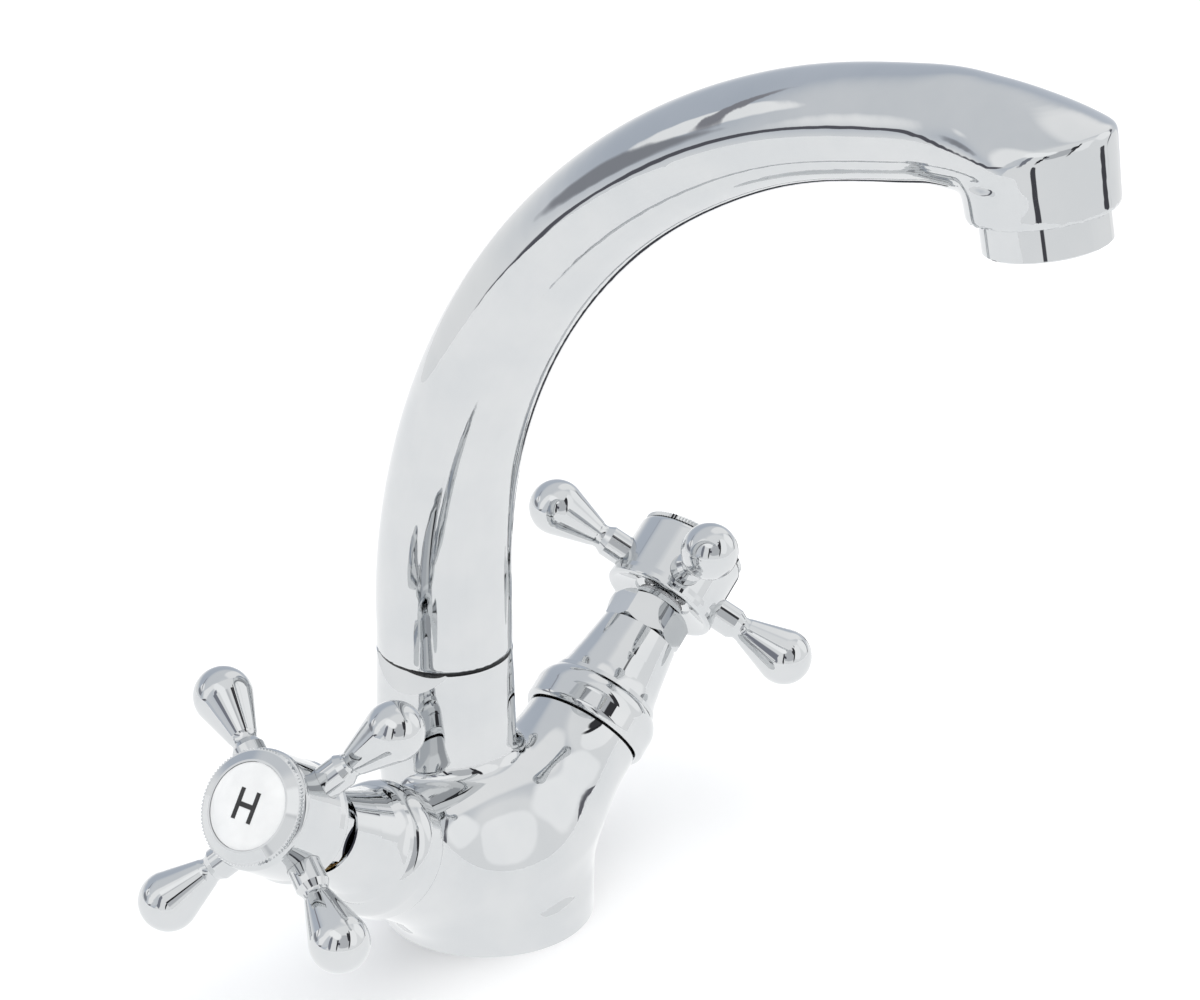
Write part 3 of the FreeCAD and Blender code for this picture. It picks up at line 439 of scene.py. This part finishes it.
def cutter(name, radius, length, start, outward):
    """Round tool for a bore: starts at a point and runs along a direction."""
    shell = bmesh.new()
    bmesh.ops.create_cone(
        shell,
        cap_ends=True,
        segments=BORE_SEGMENTS,
        radius1=radius * MM,
        radius2=radius * MM,
        depth=length * MM,
    )
    thing = bpy.data.objects.new(name, bpy.data.meshes.new(name))
    shell.to_mesh(thing.data)
    shell.free()
    outward = Vector(outward).normalized()
    turn = outward.to_track_quat("Z", "Y").to_matrix().to_4x4()
    middle = (Vector(start) + outward * length / 2) * MM
    thing.data.transform(Matrix.Translation(middle) @ turn)
    bpy.context.scene.collection.objects.link(thing)
    return thing


def bored(thing, tools):
    """Take the bores out of a solid, then drop the tools."""
    for tool in tools:
        step = thing.modifiers.new(tool.name, "BOOLEAN")
        step.operation = "DIFFERENCE"
        step.solver = "EXACT"
        step.object = tool
    applied(thing)
    for tool in tools:
        bpy.data.objects.remove(tool)


def smooth(thing):
    thing.data.polygons.foreach_set("use_smooth", [True] * len(thing.data.polygons))
    thing.data.set_sharp_from_angle(angle=math.radians(SHARP_ANGLE))


def in_place_of(thing, node_name, body_name, look):
    """Chrome piece that stands in for a CAD node and moves with its body."""
    thing.data.materials.clear()
    thing.data.materials.append(look)
    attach(thing, body_name)
    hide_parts(node_name)


def applied(thing):
    """Fix an object's modifiers into its mesh."""
    view = bpy.context.evaluated_depsgraph_get()
    mesh = bpy.data.meshes.new_from_object(thing.evaluated_get(view))
    thing.modifiers.clear()
    thing.data = mesh


def valve_axis(side):
    return Vector((side * math.cos(RISE), 0.0, math.sin(RISE)))


def blended_body():
    """Casting with its arms, dome and column run together in one polished skin.

    It has the column's and valves' bores, the underside's recess and the grub screw's hole.
    """
    points, faces = surface(body_field, LOW_CORNER, HIGH_CORNER, CELL)
    thing = mesh_object("body_casting", points, faces)
    planes = [((0.0, 0.0, 0.0), Vector((0, 0, -1))), ((0.0, 0.0, COLUMN_TOP * MM), Vector((0, 0, 1)))]
    tools = [
        cutter("column_bore", COLUMN_BORE, 26.0, (0, COLUMN_BACK, COLUMN_BORE_FLOOR), (0, 0, 1)),
        cutter("underside_bore", RECESS_RADIUS, RECESS_DEPTH * 2, (0, 0, -RECESS_DEPTH), (0, 0, 1)),
        cutter("grub_bore", GRUB_BORE, 6.0, (0, COLUMN_BACK + GRUB_START, GRUB_LEVEL), (0, -1, 0)),
    ]
    for side in (-1.0, 1.0):
        axis = valve_axis(side)
        level = Vector((0, 0, VALVE_LEVEL))
        planes.append((tuple((level + axis * ARM_END) * MM), axis))
        start = level + axis * VALVE_BORE_FLOOR
        tools.append(cutter("valve_bore", VALVE_BORE, 24.0, start, axis))
    trimmed(thing, planes)
    bored(thing, tools)
    smooth(thing)
    in_place_of(thing, "body", "base", CAST)


blended_body()


# ---------------------------------------------------------------- polished spout

# sizes in metres
SKIN_CELL = 0.0004
SEAM_RAMP = (0.0605, 0.066)
MOUTH = (0.0, -0.1303, 0.1828)
MOUTH_TILT = math.radians(11.0)
MOUTH_RAMP = (0.0072, 0.0105)
MOUTH_REACH = 0.03
LEAST_BUFF = 0.2
BUFF_LEVELS = 20
BUFF_FACTOR = 0.5
BUFF_STEPS = 60


def ramp(amount, start, end):
    share = np.clip((amount - start) / (end - start), 0.0, 1.0)
    return share * share * (3.0 - 2.0 * share)


def polished_spout():
    """Spout with an even, dense skin: soft buffed edges, crisp only at its seam and mouth."""
    source = nodes["spout"]
    mesh = source.data.copy()
    mesh.transform(source.matrix_world)
    thing = bpy.data.objects.new("spout_casting", mesh)
    bpy.context.scene.collection.objects.link(thing)
    step = thing.modifiers.new("even", "REMESH")
    step.mode = "VOXEL"
    step.voxel_size = SKIN_CELL
    step.use_smooth_shade = True
    applied(thing)
    places = np.empty(len(thing.data.vertices) * 3)
    thing.data.vertices.foreach_get("co", places)
    places = places.reshape(-1, 3)
    axis = np.array((0.0, math.sin(MOUTH_TILT), math.cos(MOUTH_TILT)))
    rise = (places - np.array(MOUTH)) @ axis
    near_mouth = places[:, 1] < MOUTH[1] + MOUTH_REACH
    weight = ramp(places[:, 2], *SEAM_RAMP) * np.where(near_mouth, ramp(rise, *MOUTH_RAMP), 1.0)
    weight = LEAST_BUFF + (1.0 - LEAST_BUFF) * weight
    group = thing.vertex_groups.new(name="buffed")
    for level in range(1, BUFF_LEVELS + 1):
        chosen = np.flatnonzero(np.round(weight * BUFF_LEVELS) == level)
        group.add([int(n) for n in chosen], level / BUFF_LEVELS, "REPLACE")
    step = thing.modifiers.new("buff", "SMOOTH")
    step.factor = BUFF_FACTOR
    step.iterations = BUFF_STEPS
    step.vertex_group = "buffed"
    applied(thing)
    thing.vertex_groups.clear()
    smooth(thing)
    in_place_of(thing, "spout", "spout", TUBE)


polished_spout()


# ---------------------------------------------------------------- studio

# sizes in metres, angles in degrees, lens and sensor in millimetres
FLOOR_HALF = 4.0
TABLE_HALF = 0.55
FLOOR_GLOW = 0.17
FLAG_SPOT = (0.22, 0.03)
FLAG_SIZE = (0.2, 0.03)
FLAG_TURN = 8.0
FLAG_LIFT = 0.001
LAMP_HEIGHT = 1.6
LAMP_SIZE = 2.4
LAMP_POWER = 13.0
WALL = (0.98, 0.985, 0.99, 1)
BACKDROP = (1, 1, 1, 1)
BACKDROP_STRENGTH = 0.98
PANEL_CORNER = 3.0
PANEL_HORIZON = 0.05
CAMERA_SPOT = (-0.6310, -0.5071, 0.4798)
CAMERA_YAW = 37.103
CAMERA_PITCH = 25.449
LENS = 132.1
SENSOR = 36.0


def direction(azimuth, elevation):
    """Unit vector from two angles in degrees."""
    turn, rise = math.radians(azimuth), math.radians(elevation)
    return Vector((math.cos(turn) * math.cos(rise), math.sin(turn) * math.cos(rise), math.sin(rise)))


def patch(graph, ray, azimuth, elevation, wide, tall, soft, tilt):
    """Mask of a soft, rounded panel on the studio's walls, its sizes in degrees."""
    middle = direction(azimuth, elevation)
    right = middle.cross(Vector((0, 0, 1))).normalized()
    up = right.cross(middle)
    turn = math.radians(tilt)
    along = right * math.cos(turn) + up * math.sin(turn)
    across = up * math.cos(turn) - right * math.sin(turn)
    reach = 0.0
    for axis, half in ((along, wide), (across, tall)):
        share = graph.math("DIVIDE", graph.dot(ray, axis), math.sin(math.radians(half)))
        share = graph.math("POWER", graph.math("ABSOLUTE", share), PANEL_CORNER)
        reach = graph.math("ADD", share, reach)
    blur = 1.0 + soft / min(wide, tall)
    mask = graph.fade(reach, blur ** PANEL_CORNER, 1.0)
    facing = graph.fade(graph.dot(ray, middle), 0.0, PANEL_HORIZON)
    return graph.math("MULTIPLY", mask, facing)


PATCHES = [
    # azimuth, elevation, half width, half height, softness, tilt, brightness
    (85.0, 38.0, 48.0, 22.0, 16.0, 0.0, (0.56, 0.605, 0.68, 1)),
    (70.0, 66.0, 60.0, 12.0, 16.0, 0.0, (0.78, 0.8, 0.83, 1)),
    (151.0, 34.0, 8.0, 26.0, 4.0, 8.0, (1.1, 1.1, 1.1, 1)),
    (116.0, 20.0, 8.0, 7.5, 3.0, 18.0, (1.1, 1.1, 1.1, 1)),
    (117.0, 6.0, 10.0, 4.0, 2.5, 8.0, (0.3, 0.31, 0.34, 1)),
    (110.0, 24.0, 12.0, 1.0, 1.0, 38.0, (0.3, 0.3, 0.33, 1)),
    (139.0, -6.0, 12.0, 1.8, 1.2, -28.0, (0.12, 0.12, 0.14, 1)),
    # front opening: grey room, dark frame
    (-122.0, 30.0, 21.0, 21.0, 3.0, 0.0, (0.6, 0.61, 0.63, 1)),
    (-145.0, 28.0, 2.2, 24.0, 0.8, 10.0, (0.03, 0.03, 0.035, 1)),
    (-139.0, 24.0, 3.0, 4.0, 1.0, 0.0, (0.08, 0.08, 0.1, 1)),
    (-76.0, 30.0, 15.0, 24.0, 2.5, 28.0, (1.14, 1.14, 1.14, 1)),
    (-92.0, 30.0, 2.2, 25.0, 0.8, 28.0, (0.03, 0.03, 0.035, 1)),
    (-92.0, 40.0, 4.0, 12.0, 1.5, 20.0, (0.05, 0.05, 0.055, 1)),
    (-13.0, 8.0, 1.6, 18.0, 1.0, 45.0, (0.16, 0.16, 0.18, 1)),
    (-30.0, 22.0, 14.0, 16.0, 5.0, 0.0, (1.15, 1.15, 1.15, 1)),
    (-160.0, 55.0, 18.0, 10.0, 4.0, 20.0, (1.2, 1.2, 1.2, 1)),
    (5.0, 42.0, 10.0, 22.0, 5.0, 0.0, (1.05, 1.05, 1.05, 1)),
    (-175.0, 22.0, 4.0, 18.0, 2.0, 0.0, (0.25, 0.26, 0.3, 1)),
    # beyond the edge of the table
    (-152.0, -15.0, 3.0, 5.0, 1.0, 12.0, (0.08, 0.08, 0.09, 1)),
    (-44.0, -11.0, 4.0, 1.8, 0.8, 6.0, (0.08, 0.08, 0.09, 1)),
]


def sky():
    """White tent: pale walls, a cooler back wall, bright panels and narrow dark gaps."""
    world = bpy.data.worlds.new("studio")
    bpy.context.scene.world = world
    world.use_nodes = True
    graph = Graph(world.node_tree)
    ray = graph.add("TexCoord").outputs["Generated"]
    tone = WALL
    for *shape, brightness in PATCHES:
        tone = graph.mix(patch(graph, ray, *shape), tone, brightness)
    walls = world.node_tree.nodes["Background"]
    graph.feed(walls.inputs["Color"], tone)
    plain = graph.add("Background", Color=BACKDROP, Strength=BACKDROP_STRENGTH)
    seen = graph.add("LightPath").outputs["Is Camera Ray"]
    both = graph.add("MixShader", _0=seen, _1=walls.outputs[0], _2=plain.outputs[0])
    graph.feed(world.node_tree.nodes["World Output"].inputs["Surface"], both.outputs[0])


def flat_mesh(name, corners):
    mesh = bpy.data.meshes.new(name)
    mesh.from_pydata(corners, [], [(0, 1, 2, 3)])
    thing = bpy.data.objects.new(name, mesh)
    bpy.context.scene.collection.objects.link(thing)
    return thing


def square(name, half):
    return flat_mesh(name, [(-half, -half, 0), (half, -half, 0), (half, half, 0), (-half, half, 0)])


def mirrored_only(thing):
    """Hide a flat piece of the stage from all but the reflections in the chrome."""
    thing.visible_camera = False
    thing.visible_diffuse = False
    thing.visible_shadow = False


def floor():
    """Pale floor for the camera, and the table top that the chrome mirrors."""
    wide = square("floor", FLOOR_HALF)
    wide.visible_glossy = False
    table = square("table_top", TABLE_HALF)
    mirrored_only(table)
    material, graph, shader, place = new_material("floor_white")
    grain = graph.noise(place, 30.0, 3.0, 0.5)
    graph.feed(shader.inputs["Base Color"], graph.mix(grain, (0.88, 0.88, 0.88, 1), (0.9, 0.9, 0.9, 1)))
    shader.inputs["Roughness"].default_value = 0.7
    shader.inputs["Specular IOR Level"].default_value = 0.1
    shader.inputs["Emission Color"].default_value = (1.0, 1.0, 1.0, 1)
    shader.inputs["Emission Strength"].default_value = FLOOR_GLOW
    for thing in (wide, table):
        thing.data.materials.append(material)


def flag():
    """Dark cloth strip that only the chrome sees, lying just above the floor."""
    length, width = FLAG_SIZE
    along = direction(FLAG_TURN, 0) * length / 2
    across = direction(FLAG_TURN + 90, 0) * width / 2
    centre = Vector((*FLAG_SPOT, FLAG_LIFT))
    near, far = centre - across, centre + across
    thing = flat_mesh("flag_right", [near - along, near + along, far + along, far - along])
    mirrored_only(thing)
    material, graph, shader, place = new_material("flag_right")
    weave = graph.noise(place, 60.0, 2.0)
    graph.feed(shader.inputs["Base Color"], graph.mix(weave, (0.03, 0.03, 0.035, 1), (0.07, 0.07, 0.08, 1)))
    shader.inputs["Specular IOR Level"].default_value = 0.0
    thing.data.materials.append(material)


def lamp():
    """Soft lamp overhead: it lights the floor and the index discs and stays out of the chrome."""
    data = bpy.data.lights.new("top_lamp", "AREA")
    data.shape = "DISK"
    data.size = LAMP_SIZE
    data.energy = LAMP_POWER
    thing = bpy.data.objects.new("top_lamp", data)
    bpy.context.scene.collection.objects.link(thing)
    thing.location = (0, 0, LAMP_HEIGHT)
    thing.visible_glossy = False


def camera():
    data = bpy.data.cameras.new("camera")
    data.sensor_width = SENSOR
    data.lens = LENS
    thing = bpy.data.objects.new("camera", data)
    bpy.context.scene.collection.objects.link(thing)
    thing.location = CAMERA_SPOT
    thing.rotation_mode = "QUATERNION"
    thing.rotation_quaternion = direction(CAMERA_YAW, -CAMERA_PITCH).to_track_quat("-Z", "Y")
    bpy.context.scene.camera = thing


floor()
sky()
flag()
lamp()
camera()
bpy.context.scene.view_settings.view_transform = "Standard"
